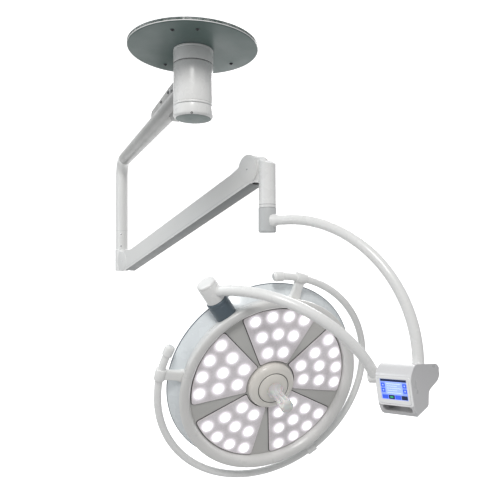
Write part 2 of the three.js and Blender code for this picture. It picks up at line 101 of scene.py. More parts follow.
AT_CEILING = placed(Vector(), Vector((1, 0, 0)), UP)
AT_ARM = placed(Vector(), level(anchor("elbow_swing")), UP)
AT_SPRING = placed(anchor("arm_lift"), along, along.cross(-axis("arm_lift")))
AT_KNUCKLE = placed(anchor("knuckle_level"), level(along), UP)
AT_BOW1 = placed(bow1_foot, polar(1, BOW["azimuth"]), UP)
AT_BOW2 = placed(anchor("second_bow_roll"), axis("second_bow_roll"), axis("head_tilt"))
AT_TILT = placed(anchor("head_tilt"), axis("focus_turn"), axis("head_tilt"))
AT_LAMP = placed(anchor("focus_turn"), -axis("head_tilt"), axis("focus_turn"))
AT_CONSOLE = AT_BOW1 @ Matrix.Translation(CONSOLE["place"]) @ console_turn


# ---------------------------------------------------------------- materials
def link(tree, source, output, target, socket):
    tree.links.new(source.outputs[output], target.inputs[socket])


def noise(tree, scale, detail, stretch=(1, 1, 1)):
    """Noise over the object's own coordinates, so that it moves with the part."""
    where = tree.nodes.new("ShaderNodeTexCoord")
    mapping = tree.nodes.new("ShaderNodeMapping")
    mapping.inputs["Scale"].default_value = stretch
    texture = tree.nodes.new("ShaderNodeTexNoise")
    texture.inputs["Scale"].default_value = scale
    texture.inputs["Detail"].default_value = detail
    link(tree, where, "Object", mapping, "Vector")
    link(tree, mapping, "Vector", texture, "Vector")
    return texture


def ramp(tree, source, low, high, first, last):
    """Colour ramp from first to last between two values of the source's noise."""
    node = tree.nodes.new("ShaderNodeValToRGB")
    node.color_ramp.elements[0].position = low
    node.color_ramp.elements[1].position = high
    node.color_ramp.elements[0].color = (*first, 1)
    node.color_ramp.elements[1].color = (*last, 1)
    link(tree, source, "Fac", node, "Fac")
    return node


def spread(tree, source, low, high, first=0.3, last=0.7, output="Fac"):
    """Maps a source's values from first to last onto the range from low to high."""
    node = tree.nodes.new("ShaderNodeMapRange")
    node.inputs["From Min"].default_value = first
    node.inputs["From Max"].default_value = last
    node.inputs["To Min"].default_value = low
    node.inputs["To Max"].default_value = high
    link(tree, source, output, node, "Value")
    return node


def surface(name, colour, other, rough, grain=900, height=0.012, cloud=4, stretch=(1, 1, 1), **fixed):
    """Procedural finish: soft colour clouds, uneven roughness and a fine grain in the surface."""
    material = bpy.data.materials.new(name)
    material.use_nodes = True
    tree = material.node_tree
    shader = tree.nodes["Principled BSDF"]
    clouds = noise(tree, cloud, 4)
    tint = ramp(tree, clouds, 0.35, 0.68, colour, other)
    link(tree, tint, "Color", shader, "Base Color")
    patches = noise(tree, cloud * 6, 5, stretch)
    gloss = spread(tree, patches, rough[0], rough[1])
    link(tree, gloss, "Result", shader, "Roughness")
    fine = noise(tree, grain, 3, stretch)
    bump = tree.nodes.new("ShaderNodeBump")
    bump.inputs["Strength"].default_value = 0.35
    bump.inputs["Distance"].default_value = height * MM
    link(tree, fine, "Fac", bump, "Height")
    link(tree, bump, "Normal", shader, "Normal")
    for socket, value in fixed.items():
        shader.inputs[socket.replace("_", " ")].default_value = value
    return material


LOOKS = {
    "white_paint": surface("white_paint", (0.815, 0.815, 0.80), (0.845, 0.845, 0.835), (0.22, 0.32),
                           height=0.012, Coat_Weight=0.25, Coat_Roughness=0.12),
    "satin_paint": surface("satin_paint", (0.785, 0.785, 0.77), (0.81, 0.81, 0.795), (0.28, 0.38),
                           height=0.015, Coat_Weight=0.1, Coat_Roughness=0.2),
    "shell_plastic": surface("shell_plastic", (0.70, 0.695, 0.68), (0.73, 0.725, 0.705), (0.26, 0.34),
                             height=0.005, Coat_Weight=0.15, Coat_Roughness=0.15),
    "grey_paint": surface("grey_paint", (0.52, 0.54, 0.54), (0.57, 0.58, 0.58), (0.32, 0.44),
                          height=0.04),
    # arm_shade_grey: the arm's paint darkened as painted shade, for the sloped arm tube and the root bracket
    "arm_shade_grey": surface("arm_shade_grey", (0.30, 0.30, 0.29), (0.33, 0.33, 0.32), (0.30, 0.40),
                        height=0.015, Coat_Weight=0.1, Coat_Roughness=0.2),
    "face_paint": surface("face_paint", (0.50, 0.50, 0.48), (0.56, 0.55, 0.53), (0.35, 0.48),
                          height=0.03),
    # plate_paint: grey-green plate paint, darkened as painted shade for the underside that faces down
    "plate_paint": surface("plate_paint", (0.070, 0.112, 0.104), (0.086, 0.130, 0.120), (0.34, 0.44),
                           height=0.008, cloud=4),
    "band_paint": surface("band_paint", (0.735, 0.775, 0.795), (0.75, 0.785, 0.80), (0.25, 0.29),
                          height=0.012, Coat_Weight=0.3, Coat_Roughness=0.1),
    "slate_paint": surface("slate_paint", (0.075, 0.105, 0.13), (0.10, 0.135, 0.16), (0.30, 0.42),
                           height=0.03, Coat_Weight=0.2, Coat_Roughness=0.2),
    "under_plastic": surface("under_plastic", (0.23, 0.24, 0.24), (0.26, 0.27, 0.27), (0.5, 0.62),
                             height=0.1, grain=1400),
    "bright_steel": surface("bright_steel", (0.55, 0.56, 0.57), (0.66, 0.67, 0.68), (0.18, 0.32),
                            stretch=(1, 1, 14), grain=500, Metallic=1.0),
    "dark_steel": surface("dark_steel", (0.06, 0.06, 0.065), (0.10, 0.10, 0.105), (0.3, 0.45),
                          Metallic=1.0),
    "sink_aluminium": surface("sink_aluminium", (0.62, 0.63, 0.64), (0.7, 0.71, 0.72), (0.3, 0.42),
                              Metallic=1.0),
    "console_plastic": surface("console_plastic", (0.63, 0.625, 0.63), (0.655, 0.65, 0.655), (0.26, 0.33),
                               height=0.012, Coat_Weight=0.35, Coat_Roughness=0.08),
    "hub_plastic": surface("hub_plastic", (0.74, 0.71, 0.66), (0.79, 0.77, 0.72), (0.28, 0.4),
                           height=0.012, Coat_Weight=0.2, Coat_Roughness=0.15),
    "handle_clear": surface("handle_clear", (0.92, 0.92, 0.90), (0.97, 0.97, 0.95), (0.16, 0.28),
                            height=0.05, Transmission_Weight=0.45, IOR=1.46,
                            Subsurface_Weight=0.2, Subsurface_Scale=0.006),
    "board": surface("board", (0.02, 0.16, 0.07), (0.03, 0.22, 0.10), (0.35, 0.5)),
    "screen_glass": surface("screen_glass", (0.16, 0.24, 0.70), (0.20, 0.29, 0.78), (0.06, 0.12),
                            height=0.0, Emission_Color=(0.22, 0.34, 0.92, 1), Emission_Strength=0.6,
                            Coat_Weight=0.6, Coat_Roughness=0.03),
    "led_lens": surface("led_lens", (0.95, 0.95, 0.96), (1.0, 1.0, 1.0), (0.08, 0.16), height=0.02,
                        Emission_Color=(1.0, 0.985, 0.98, 1), Emission_Strength=1.15),
    "ring_white": surface("ring_white", (0.88, 0.88, 0.88), (0.90, 0.90, 0.90), (0.16, 0.24),
                          Coat_Weight=0.4, Coat_Roughness=0.06),
    "gasket": surface("gasket", (0.03, 0.032, 0.035), (0.05, 0.052, 0.055), (0.55, 0.7)),
}


def glow(name, colour, other, strength, rough=(0.15, 0.25)):
    """A glowing surface with soft uneven colour, used for the screen's own light and for painted light on
    parts that are no lamp.
    """
    return surface(name, colour, other, rough, height=0.01, cloud=30,
                   Emission_Color=(*colour, 1), Emission_Strength=strength)


def panel_glow():
    """Panel front with painted light that brightens towards each lens, by the glow value kept on its points.
    """
    material = surface("led_glow", (0.50, 0.465, 0.475), (0.58, 0.55, 0.57), (0.2, 0.35), cloud=30,
                       Emission_Color=(0.97, 0.93, 0.98, 1))
    tree = material.node_tree
    value = tree.nodes.new("ShaderNodeAttribute")
    value.attribute_name = "glow"
    lift = spread(tree, value, 0.13, 0.62, 0, 1)
    link(tree, lift, "Result", tree.nodes["Principled BSDF"], "Emission Strength")
    return material


# The LED panel and the lens collars are no lamps: their glow is painted light from the lenses.
LOOKS["led_panel"] = glow("led_panel", (0.50, 0.465, 0.475), (0.58, 0.55, 0.57), 0.36, (0.2, 0.35))
LOOKS["led_glow"] = panel_glow()
LOOKS["led_collar"] = glow("led_collar", (0.74, 0.70, 0.77), (0.80, 0.77, 0.83), 0.5)
LOOKS["tile_dark"] = glow("tile_dark", (0.010, 0.016, 0.06), (0.02, 0.03, 0.09), 0.3)
LOOKS["tile_pale"] = glow("tile_pale", (0.30, 0.42, 0.90), (0.36, 0.48, 0.95), 0.55)
LOOKS["tile_line"] = glow("tile_line", (0.75, 0.86, 1.0), (0.85, 0.93, 1.0), 0.7)
LOOKS["tile_blue"] = glow("tile_blue", (0.035, 0.09, 0.62), (0.05, 0.12, 0.72), 0.6)
LOOKS["tile_green"] = glow("tile_green", (0.02, 0.35, 0.12), (0.04, 0.45, 0.16), 0.6)


# ---------------------------------------------------------------- mesh making
def softened(corners, radius=0.0, steps=4, closed=True):
    """Outline with rounded corners, from (a, b) or (a, b, radius) corners."""
    points = []
    last = len(corners) - 1
    for i, corner in enumerate(corners):
        here = Vector(corner[:2])
        reach = corner[2] if len(corner) > 2 else radius
        if not reach or (not closed and i in (0, last)):
            points.append(here)
            continue
        before = Vector(corners[i - 1][:2]) - here
        after = Vector(corners[(i + 1) % len(corners)][:2]) - here
        reach = min(reach, before.length * 0.48, after.length * 0.48)
        first = here + before.normalized() * reach
        second = here + after.normalized() * reach
        for k in range(steps + 1):
            t = k / steps
            points.append(first * (1 - t) ** 2 + here * 2 * t * (1 - t) + second * t * t)
    return points


def lathe(profile, radius=1.0, steps=FINE, flutes=None):
    """Turned body about z. A profile that starts on the axis is open, and any other closes on itself.
    flutes is (count, depth, low, high): grooves along z that fade in and out between two heights."""
    on_axis = profile[0][0] < 1e-6
    points = softened(profile, radius, 3, closed=not on_axis)
    count = len(points)
    verts = []
    for k in range(steps):
        angle = 2 * math.pi * k / steps
        for p in points:
            r = p.x
            if flutes and r and flutes[2] < p.y < flutes[3]:
                fade = math.sin(math.pi * (p.y - flutes[2]) / (flutes[3] - flutes[2])) ** 0.5
                r -= flutes[1] * fade * (0.5 - 0.5 * math.cos(flutes[0] * angle)) ** 2
            verts.append((r * math.cos(angle), r * math.sin(angle), p.y))
    faces = []
    for k in range(steps):
        here = k * count
        there = (k + 1) % steps * count
        for i in range(count - 1 if on_axis else count):
            j = (i + 1) % count
            faces.append((here + i, there + i, there + j, here + j))
    return verts, faces


def tube(points, radii, sides=48):
    """Round tube through points, with one radius or a radius for each point, and flat ends."""
    points = [Vector(p) for p in points]
    if not hasattr(radii, "__len__"):
        radii = [radii] * len(points)
    ends = [points[0]] + points + [points[-1]]
    tangents = [(ends[i + 2] - ends[i]).normalized() for i in range(len(points))]
    normal = tangents[0].orthogonal().normalized()
    verts = []
    for i, point in enumerate(points):
        if i:
            normal = tangents[i - 1].rotation_difference(tangents[i]) @ normal
        side = tangents[i].cross(normal)
        for k in range(sides):
            angle = 2 * math.pi * k / sides
            verts.append(point + (normal * math.cos(angle) + side * math.sin(angle)) * radii[i])
    faces = [tuple(range(sides)), tuple(range(len(verts) - sides, len(verts)))]
    for i in range(len(points) - 1):
        for k in range(sides):
            j = (k + 1) % sides
            faces.append((i * sides + k, i * sides + j, (i + 1) * sides + j, (i + 1) * sides + k))
    return verts, faces


def loft(sections):
    """Skin through closed outlines that have the same number of points, with flat ends."""
    count = len(sections[0])
    verts = [Vector(p) for section in sections for p in section]
    faces = [tuple(range(count)), tuple(range(len(verts) - count, len(verts)))]
    for i in range(len(sections) - 1):
        for k in range(count):
            j = (k + 1) % count
            faces.append((i * count + k, i * count + j, (i + 1) * count + j, (i + 1) * count + k))
    return verts, faces


def arc(centre, first, second, radius, start, stop, steps):
    """Points on an arc, angles in degrees from the first direction towards the second."""
    points = []
    for k in range(steps + 1):
        angle = math.radians(start + (stop - start) * k / steps)
        points.append(Vector(centre) + (Vector(first) * math.cos(angle)
                                        + Vector(second) * math.sin(angle)) * radius)
    return points


def slab(outline, y0, y1, edge=0.0, steps=3):
    """Outline in x and z, carried along y, with its rims rounded off."""
    mesh = bmesh.new()
    low = [mesh.verts.new((p[0], y0, p[1])) for p in outline]
    high = [mesh.verts.new((p[0], y1, p[1])) for p in outline]
    mesh.faces.new(low)
    mesh.faces.new(list(reversed(high)))
    count = len(outline)
    for i in range(count):
        j = (i + 1) % count
        mesh.faces.new((low[j], low[i], high[i], high[j]))
    if edge:
        rims = [e for e in mesh.edges if abs(e.verts[0].co.y - e.verts[1].co.y) < 1e-6]
        bmesh.ops.bevel(mesh, geom=rims, offset=edge, segments=steps, profile=0.5, affect="EDGES",
                        clamp_overlap=True)
    verts = [v.co.copy() for v in mesh.verts]
    mesh.verts.index_update()
    faces = [tuple(v.index for v in f.verts) for f in mesh.faces]
    mesh.free()
    return verts, faces


def oriented(shape, centre, direction, spin=0.0):
    """Moves a shape drawn about z so that its z points along a direction from a centre."""
    turn = UP.rotation_difference(Vector(direction).normalized()).to_matrix().to_4x4()
    move = Matrix.Translation(centre) @ turn @ Matrix.Rotation(math.radians(spin), 4, "Z")
    verts, faces = shape
    return [move @ Vector(v) for v in verts], faces


def together(*shapes):
    """Several shapes as one mesh."""
    verts = []
    faces = []
    for more, cells in shapes:
        faces += [tuple(i + len(verts) for i in cell) for cell in cells]
        verts += more
    return verts, faces


def solid(name, shape, where, sharp=35):
    """Object from a shape, placed by its frame."""
    verts, faces = shape
    work = bmesh.new()
    points = [work.verts.new(where @ Vector(v)) for v in verts]
    for cell in faces:
        work.faces.new([points[i] for i in cell])
    bmesh.ops.remove_doubles(work, verts=work.verts, dist=2e-6)
    bmesh.ops.recalc_face_normals(work, faces=work.faces)
    mesh = bpy.data.meshes.new(name)
    work.to_mesh(mesh)
    work.free()
    shade(mesh, sharp)
    obj = bpy.data.objects.new(name, mesh)
    bpy.context.scene.collection.objects.link(obj)
    return obj


def shade(mesh, sharp=35):
    mesh.shade_smooth()
    mesh.set_sharp_from_angle(angle=math.radians(sharp))


def carve(target, cutters, operation="DIFFERENCE", sharp=35):
    """Cuts or joins other solids and keeps the result as the target's own mesh."""
    for cutter in cutters:
        modifier = target.modifiers.new("carve", "BOOLEAN")
        modifier.operation = operation
        modifier.solver = "EXACT"
        modifier.object = cutter
    graph = bpy.context.evaluated_depsgraph_get()
    mesh = bpy.data.meshes.new_from_object(target.evaluated_get(graph))
    target.modifiers.clear()
    target.data = mesh
    shade(mesh, sharp)
    for cutter in cutters:
        bpy.data.objects.remove(cutter)
    return target


def wear(obj, look, body, *nodes, weighted=False):
    """Gives an object its finish, its body and the CAD nodes that it stands for."""
    obj.data.materials.clear()
    obj.data.materials.append(LOOKS[look])
    if weighted:
        normals = obj.modifiers.new("even normals", "WEIGHTED_NORMAL")
        normals.keep_sharp = True
    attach(obj, body)
    if nodes:
        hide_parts(*nodes)
    return obj


def make(name, shape, where, look, body, *nodes, sharp=35, weighted=False):
    return wear(solid(name, shape, where, sharp), look, body, *nodes, weighted=weighted)


def screw(name, where, centre, direction, radius, body, look="dark_steel", height=1.2, nodes=()):
    """Domed screw with a hexagonal socket, standing on a surface."""
    profile = ((0, height * 0.25, 0), (0.5, height * 0.25, 1), (0.5, height, 1), (0.8, height * 0.8, 0),
               (1.0, height * 0.35, 0), (1.0, -height, 0), (0, -height, 0))
    steps = 36
    verts = []
    for k in range(steps):
        angle = 2 * math.pi * k / steps
        for r, z, hexagonal in profile:
            reach = r * radius
            if hexagonal:
                reach /= math.cos((angle + math.pi / 6) % (math.pi / 3) - math.pi / 6)
            verts.append((reach * math.cos(angle), reach * math.sin(angle), z))
    count = len(profile)
    faces = [(k * count + i, (k + 1) % steps * count + i, (k + 1) % steps * count + i + 1,
              k * count + i + 1) for k in range(steps) for i in range(count - 1)]
    shape = oriented((verts, faces), centre, direction)
    return make(name, shape, where, look, body, *nodes)


def groove(name, radius, z, where, body, look="gasket", width=0.8, centre=(0, 0, 0), direction=UP):
    """Thin dark joint line round a turned part, standing a hair proud of it."""
    ring = lathe(((radius - 1, z - width / 2), (radius + 0.12, z - width / 2),
                  (radius + 0.12, z + width / 2), (radius - 1, z + width / 2)), 0)
    return make(name, oriented(ring, centre, direction), where, look, body)


def carried(node, look, edge=0.0, cell=0.0, smooth=6):
    """Finishes a CAD node that keeps its shape. cell remeshes it, so that its corners become fillets."""
    obj = frame["nodes"][node]
    if "custom_normal" in obj.data.attributes:
        obj.data.attributes.remove(obj.data.attributes["custom_normal"])
    obj.data.shade_smooth()
    weld = obj.modifiers.new("weld", "WELD")
    weld.merge_threshold = 1e-5
    if cell:
        remesh = obj.modifiers.new("fillet cells", "REMESH")
        remesh.mode = "VOXEL"
        remesh.voxel_size = cell * MM
        remesh.use_smooth_shade = True
        relax = obj.modifiers.new("fillet", "SMOOTH")
        relax.factor = 0.5
        relax.iterations = smooth
    else:
        if edge:
            bevel = obj.modifiers.new("edge", "BEVEL")
            bevel.width = edge * MM
            bevel.segments = 2
            bevel.limit_method = "ANGLE"
            bevel.angle_limit = math.radians(40)
        split = obj.modifiers.new("corners", "EDGE_SPLIT")
        split.split_angle = math.radians(32)
    obj.data.materials.clear()
    obj.data.materials.append(LOOKS[look])


# ---------------------------------------------------------------- ceiling plate and suspension tube
def ceiling():
    radius = HUB["radius"]
    thick = PLATE["thick"]
    make("cover_plate_fine", lathe(((radius + 0.5, -thick), (PLATE["radius"] - 1.5, -thick, 1.2),
                                    (PLATE["radius"], -thick + 2, 1.2), (PLATE["radius"], 0, 0.8),
                                    (radius + 0.5, 0)), 0.4, 192),
         AT_CEILING, "plate_paint", "ceiling", "ceiling_cover_plate")
    edge = PLATE["radius"]
    rim = lathe(((edge - 1.4, -thick + 0.6), (edge, -thick + 1.9), (edge, -0.6), (edge - 1.4, -0.6)),
                0.3, 192)
    make("cover_plate_rim", rim, AT_CEILING, "white_paint", "ceiling")
    for i, degrees in enumerate(PLATE["screw_angles"]):
        node = f"plate_screw_{i + 1}"
        screw(f"{node}_fine", AT_CEILING, polar(PLATE["screws"], degrees, -thick), -UP, 4.5, "ceiling",
              "dark_steel", 2.2, (node,))
    make("upper_collar_fine", lathe(((HUB["core"], HUB["top"]), (radius, HUB["top"], 0.8),
                                     (radius, -15.4, 0.5), (radius - 0.8, -14.8, 0.3),
                                     (radius - 0.8, -13.4, 0.3), (radius, -12.8, 0.5),
                                     (radius, -9.1, 0.6), (HUB["core"], -9.1)), 0.3),
         AT_CEILING, "white_paint", "ceiling", "upper_collar")
    make("lower_cap_fine", lathe(((0, HUB["end"]), (radius - 4, HUB["end"], 1),
                                  (radius, HUB["end"] + 4.5, 2.5),
                                  (radius, HUB["bottom"] - 0.6, 0.8), (HUB["core"], HUB["bottom"] - 0.6),
                                  (HUB["core"], HUB["end"] + 4), (0, HUB["end"] + 4)), 0.4),
         AT_CEILING, "white_paint", "ceiling", "lower_cap")
    # The cap's lower face wears the same grey-green paint, darkened as painted shade.
    face = lathe(((0, HUB["end"] - 0.5), (radius - 5.2, HUB["end"] - 0.5, 0.4),
                  (radius - 5.2, HUB["end"] + 1), (0, HUB["end"] + 1)), 0.2)
    make("lower_cap_face", face, AT_CEILING, "plate_paint", "ceiling")
    screw("lower_cap_screw", AT_CEILING, polar(radius - 2.2, -88, HUB["end"] + 2.4),
          polar(1, -88, -0.9), 2.8, "ceiling", "dark_steel", 0.8)
    groove("collar_joint", radius, HUB["top"] + 0.6, AT_CEILING, "ceiling", "gasket", 1.0)
    groove("cap_joint", radius, HUB["bottom"] - 1.2, AT_CEILING, "ceiling", "grey_paint", 1.0)
    for node in ("suspension_tube", "hub_bearing_upper", "hub_bearing_lower"):
        carried(node, "bright_steel", 0.3)


# ---------------------------------------------------------------- extension arm
def extension_arm():
    radius = HUB["radius"]
    low = HUB["bottom"] + GAP
    high = HUB["top"] - 1
    seat = HUB["seat"]
    body = "extension_arm"
    make("hub_sleeve_fine", lathe(((seat, low), (radius, low, 0.8), (radius, low + 4.0, 0.3),
                                   (radius - 0.8, low + 4.4, 0.2), (radius - 0.8, low + 5.4, 0.2),
                                   (radius, low + 5.8, 0.3), (radius, high, 0.8), (seat, high),
                                   (seat, high - 9.6), (31, high - 9.6), (31, low + 10.4),
                                   (seat, low + 10.4)), 0.2),
         AT_ARM, "white_paint", body, "hub_sleeve")
    outline = softened(((46.6, -138, 2), (46.6, -36, 2), (200, -35, 12), (436, -42, 6), (446, -60, 6),
                        (446, -100, 6), (240, -100, 14), (200, -118, 16), (176, -138, 22)), 0, 6)
    fin = solid("root_bracket_fine", slab(outline, -9, 9, 2.4, 3), AT_ARM)
    round_hub = radius + GAP
    bore = solid("cut_hub", lathe(((0, -200), (round_hub, -200), (round_hub, 0), (0, 0)), 0), AT_ARM)
    tube_bore = solid("cut_tube", tube([(ARM["start"] - GAP, 0, ARM["height"]),
                                        (500, 0, ARM["height"])], ARM["radius"] + GAP, 64), AT_ARM)
    carve(fin, [bore, tube_bore])
    # The bracket wears the painted shade grey of the sloped arm tube.
    wear(fin, "arm_shade_grey", body, "root_bracket", weighted=True)
    bolt = lathe(((0, -13), (4.5, -13, 0.6), (4.5, 13, 0.6), (0, 13)), 0.4, 48)
    make("bracket_bolt_fine", oriented(bolt, (178, 0, -53), (0, 1, 0)), AT_ARM, "bright_steel", body,
         "bracket_bolt")
    for i, (x, z) in enumerate(((214, -46), (300, -49))):
        node = f"bracket_screw_{i + 1}"
        screw(f"{node}_fine", AT_ARM, (x, 9, z), (0, 1, 0), 4.4, body, "dark_steel", 2.0, (node,))
    bend = ARM["bend"]
    reach = ARM["length"]
    wide = ARM["radius"]
    height = ARM["height"]
    joint = reach - bend - 26
    run = [(x, 0, height) for x in (ARM["start"], joint - 1, joint)]
    # One CAD tube drawn as two pieces: the sloped run in the painted shade grey, the drop in the lighter
    # satin paint of the same finish.
    make("arm_tube_fine", tube(run, [wide, wide, wide - 0.8], 72), AT_ARM, "arm_shade_grey", body, "arm_tube")
    points = [Vector((joint + 0.2, 0, height)), Vector((joint + 1.2, 0, height))]
    points += arc((reach - bend, 0, height - bend), (1, 0, 0), (0, 0, 1), bend, 90, 0, 24)
    points += [Vector((reach, 0, ARM["end"] + 0.8)), Vector((reach, 0, ARM["end"]))]
    radii = [wide - 0.8] + [wide] * (len(points) - 2) + [wide - 0.8]
    make("drop_tube_fine", tube(points, radii, 72), AT_ARM, "satin_paint", body)
    foot = Vector((reach, 0, 0))
    towards_viewer = AT_ARM.to_3x3().inverted() @ Vector((0.12, -1, 0))
    towards_viewer.normalize()
    for i, z in enumerate((-414, -467)):
        screw(f"drop_tube_screw_{i + 1}", AT_ARM, foot + towards_viewer * ARM["radius"] + UP * z,
              towards_viewer, 3.2, body, "bright_steel", 1.0)
    groove("drop_tube_joint", ARM["radius"], -398, AT_ARM, body, "grey_paint", 0.9, foot)
    carried("drop_spindle", "bright_steel")


# ---------------------------------------------------------------- elbow
def elbow():
    carried("elbow_housing", "white_paint", cell=1.3)
    carried("elbow_bearing", "bright_steel")
    carried("lower_pivot_pin", "bright_steel", 0.4)


# ---------------------------------------------------------------- balanced spring arm
def brick(x0, x1, y0, y1, z0, z1):
    return slab(((x0, z0), (x1, z0), (x1, z1), (x0, z1)), y0, y1)


def spring_shell_outline():
    length = SPRING["length"]
    cheek = SPRING["cheek"]
    above = SPRING["above"]
    lean = math.degrees(math.asin(above / cheek))
    points = arc((0, 0, 0), (1, 0, 0), (0, 0, 1), cheek, -90, -272, 40)
    points += [Vector((100, 0, above)), Vector((length - cheek - 30, 0, above))]
    points += arc((length, 0, 0), (1, 0, 0), (0, 0, 1), cheek, 180 - lean, -90, 40)
    return [(p.x, p.z) for p in points]


def spring_arm():
    body = "spring_arm"
    half = SPRING["half"]
    inner = half - SPRING["wall"]
    length = SPRING["length"]
    shell = solid("spring_arm_fine", slab(spring_shell_outline(), -half, half, 3.2, 4), AT_SPRING)
    cuts = [brick(-60, length + 60, -inner, inner, -70, SPRING["above"] - SPRING["wall"]),
            brick(-70, 60, -inner, inner, -71, 61), brick(length - 60, length + 70, -inner, inner, -71, 61)]
    carve(shell, [solid("cut_arm", shape, AT_SPRING) for shape in cuts])
    wear(shell, "satin_paint", body, "spring_arm_shell", weighted=True)
    for x, tag in ((0, "lower"), (length, "upper")):
        for side in (-1, 1):
            name = f"{tag}_pivot_disc_{'left' if side < 0 else 'right'}"
            face = half + 1.2
            disc = lathe(((0, half - 0.6), (40, half - 0.6), (40, face, 0.9), (0, face)), 0.9, 120)
            make(name, oriented(disc, (x, 0, 0), (0, side, 0)), AT_SPRING, "satin_paint", body)
            screw(f"{name}_screw", AT_SPRING, (x, side * face, 0), (0, side, 0), 2.6, body,
                  "bright_steel", 0.6)
    # Grey strips along each side stand in for a crease in the shell: painted shade, not a modelled step.
    for side in (-1, 1):
        crease = brick(30, length - 30, side * half - 0.25, side * half + 0.12, -SPRING["below"] + 7,
                       -SPRING["below"] + 7.7)
        make(f"arm_crease_shade_{'left' if side < 0 else 'right'}", crease, AT_SPRING, "grey_paint", body)
    carried("under_cover", "under_plastic", 0.8)
    for node in ("arm_beam", "spring_rod", "balance_spring"):
        carried(node, "bright_steel")
    carried("link_rod", "bright_steel")


# ---------------------------------------------------------------- knuckle and yaw sleeve
def knuckle():
    carried("knuckle_body", "white_paint", cell=1.3)
    carried("upper_pivot_pin", "bright_steel", 0.4)
    carried("yaw_bearing", "bright_steel")
    centre = (KNUCKLE["to_axis"], 0, 0)
    groove("knuckle_seam", KNUCKLE["radius"] - 0.1, -KNUCKLE["down"] + 9, AT_KNUCKLE, "knuckle", "gasket",
           0.8, centre)


# ---------------------------------------------------------------- first bow
def first_bow():
    body = "first_bow"
    top = BOW1["drop"] - KNUCKLE["down"] - GAP
    foot = top - YAW["length"]
    radius = YAW["radius"]
    make("yaw_sleeve_fine", lathe(((0, foot), (radius - 3, foot, 1.5), (radius, foot + 4, 2.5),
                                   (radius, top, 0.8), (18, top), (18, top - 62), (0, top - 62)), 0.4),
         AT_BOW1, "grey_paint", body, "yaw_sleeve")
    height = BOW1["end"] + BOW1["bend"]
    reach = BOW1["straight"] + BOW1["bend"]
    flare = 30
    points = [Vector((x, 0, height)) for x in (radius - 6, radius + 2, radius + 6, radius + 11,
                                               radius + 18, radius + flare)]
    radii = [BOW["radius"] + extra for extra in (7.5, 3.8, 2.0, 0.9, 0.2, 0)]
    bend = arc((BOW1["straight"], 0, BOW1["end"]), (1, 0, 0), (0, 0, 1), BOW1["bend"], 90, 0, 72)
    points += bend[1:] + [Vector((reach, 0, BOW1["tip"]))]
    radii += [BOW["radius"]] * (len(points) - len(radii))
    make("bow_1_fine", tube(points, radii, 56), AT_BOW1, "white_paint", body, "bow_1_tube")


# ---------------------------------------------------------------- touch console
def oblong(half, low, high, corner):
    """Rounded rectangle that is centred across and stands between two heights."""
    return softened(((-half, low), (half, low), (half, high), (-half, high)), corner, 6)


def touch_console():
    body = "first_bow"
    half = CONSOLE["half"]
    corners = ((0, -37, 5), (0, 30, 12), (32, 52, 18), (168, 15, 18), (183, -6, 14), (162, -24, 12),
               (94, -30, 12), (78, -67, 12), (18, -69, 9), (7, -56, 8))
    profile = softened(corners, 0, 8)
    verts, faces = slab(profile, -half, half, 5.5, 5)
    shell = solid("console_shell_fine", ([(-v[1], v[0], v[2]) for v in verts], faces), AT_CONSOLE)
    tray = oblong(half - 6, -34, 25, 4)
    slot = oblong(half - 8, -56, -39, 7)
    to_console = AT_CONSOLE.inverted()
    shaft_from = to_console @ AT_BOW2 @ Vector((200, 0, 0))
    shaft_to = to_console @ AT_BOW2 @ Vector((SHAFT["end"] + 1, 0, 0))
    reach = half + 1
    envelope = softened(((-reach, -70, 16), (reach, -70, 16), (reach, 60, 4), (-reach, 60, 4)), 0, 10)
    carve(shell, [solid("keep_console", slab(envelope, -20, 200), AT_CONSOLE)], "INTERSECT")
    cutters = [slab(tray, -8, 30), slab(slot, -8, 90), tube([shaft_from, shaft_to], SHAFT["shaft"] + GAP, 64)]
    carve(shell, [solid("cut_console", shape, AT_CONSOLE) for shape in cutters])
    wear(shell, "console_plastic", body, "console_shell", weighted=True)
    frame_outline = oblong(half - 6.4, -33.6, 24.6, 3.6)
    bezel = solid("console_bezel_fine", slab(frame_outline, -1.6, 4, 0.9, 3), AT_CONSOLE)
    window = oblong(SCREEN["width"] / 2, -SCREEN["height"] / 2, SCREEN["height"] / 2, 1)
    carve(bezel, [solid("cut_window", slab(window, -6, 10), AT_CONSOLE)])
    wear(bezel, "ring_white", body, "console_bezel", weighted=True)
    carried("touch_display", "screen_glass")
    carried("control_board", "board")
    ring_outer = oblong(half - 1.2, -38, 29.5, 6)
    ring_inner = oblong(half - 6.0, -34.4, 25.0, 4)
    ring = solid("console_front_ring", slab(ring_outer, -0.9, 2, 0.8, 3), AT_CONSOLE)
    carve(ring, [solid("cut_ring", slab(ring_inner, -4, 6), AT_CONSOLE)])
    wear(ring, "ring_white", body, weighted=True)
    screen_tiles(body)


def tile(name, x0, x1, z0, z1, look, body, lift=0.25, corner=0.8):
    outline = softened(((x0, z0), (x1, z0), (x1, z1), (x0, z1)), corner)
    make(name, slab(outline, -lift, 0.6, 0.08, 1), AT_CONSOLE, look, body)


